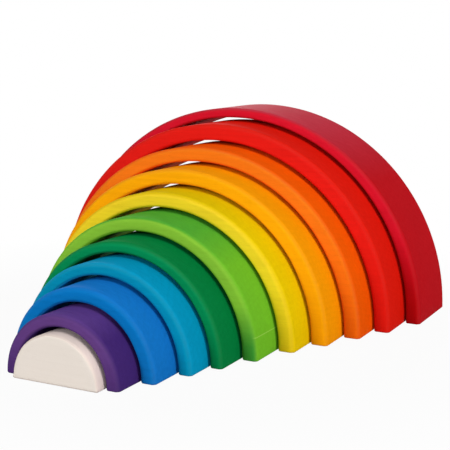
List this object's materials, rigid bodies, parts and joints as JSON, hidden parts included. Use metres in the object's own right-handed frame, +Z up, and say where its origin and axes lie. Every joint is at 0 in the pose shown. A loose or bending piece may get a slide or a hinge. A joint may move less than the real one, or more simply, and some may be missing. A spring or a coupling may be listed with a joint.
{
  "type": "nesting rainbow stacker toy",
  "caption": "Nesting wooden rainbow: loose stained semicircular arches of growing size round a solid half-round block, drawn out in a stagger, to nest, stack and build with.",
  "frame": {"origin": "on the floor, in the middle of the drawn-out row", "axes": "+Z up, +X across the arches, -Y the front, towards which the smaller pieces are drawn out"},
  "size_m": [0.36, 0.348, 0.18],
  "materials": {
    "half_round": "natural, sanded",
    "violet_arch": "matte stain, grain showing",
    "blue_arch": "matte stain, grain showing",
    "teal_arch": "matte stain, grain showing",
    "dark_green_arch": "matte stain, grain showing",
    "light_green_arch": "matte stain, grain showing",
    "yellow_arch": "matte stain, grain showing",
    "amber_arch": "matte stain, grain showing",
    "orange_arch": "matte stain, grain showing",
    "scarlet_arch": "matte stain, grain showing",
    "crimson_arch": "matte stain, grain showing"
  },
  "bodies": {
    "half_round": {"half_round": "half_round"},
    "violet_arch": {"violet_arch": "violet_arch"},
    "blue_arch": {"blue_arch": "blue_arch"},
    "teal_arch": {"teal_arch": "teal_arch"},
    "dark_green_arch": {"dark_green_arch": "dark_green_arch"},
    "light_green_arch": {"light_green_arch": "light_green_arch"},
    "yellow_arch": {"yellow_arch": "yellow_arch"},
    "amber_arch": {"amber_arch": "amber_arch"},
    "orange_arch": {"orange_arch": "orange_arch"},
    "scarlet_arch": {"scarlet_arch": "scarlet_arch"},
    "crimson_arch": {"crimson_arch": "crimson_arch"}
  },
  "joints": [
    {"name": "half_round_slide", "type": "slide", "parent": "violet_arch", "child": "half_round", "axis": [0, 1, 0], "range_m": [-0.0745, 0.0075]},
    {"name": "violet_slide", "type": "slide", "parent": "blue_arch", "child": "violet_arch", "axis": [0, 1, 0], "range_m": [-0.057, 0.025]},
    {"name": "blue_slide", "type": "slide", "parent": "teal_arch", "child": "blue_arch", "axis": [0, 1, 0], "range_m": [-0.053, 0.029]},
    {"name": "teal_slide", "type": "slide", "parent": "dark_green_arch", "child": "teal_arch", "axis": [0, 1, 0], "range_m": [-0.057, 0.025]},
    {"name": "dark_green_slide", "type": "slide", "parent": "light_green_arch", "child": "dark_green_arch", "axis": [0, 1, 0], "range_m": [-0.053, 0.029]},
    {"name": "light_green_slide", "type": "slide", "parent": "yellow_arch", "child": "light_green_arch", "axis": [0, 1, 0], "range_m": [-0.048, 0.034]},
    {"name": "yellow_slide", "type": "slide", "parent": "amber_arch", "child": "yellow_arch", "axis": [0, 1, 0], "range_m": [-0.053, 0.029]},
    {"name": "amber_slide", "type": "slide", "parent": "orange_arch", "child": "amber_arch", "axis": [0, 1, 0], "range_m": [-0.051, 0.031]},
    {"name": "orange_slide", "type": "slide", "parent": "scarlet_arch", "child": "orange_arch", "axis": [0, 1, 0], "range_m": [-0.053, 0.029]},
    {"name": "scarlet_slide", "type": "slide", "parent": "crimson_arch", "child": "scarlet_arch", "axis": [0, 1, 0], "range_m": [-0.0445, 0.0375]}
  ]
}
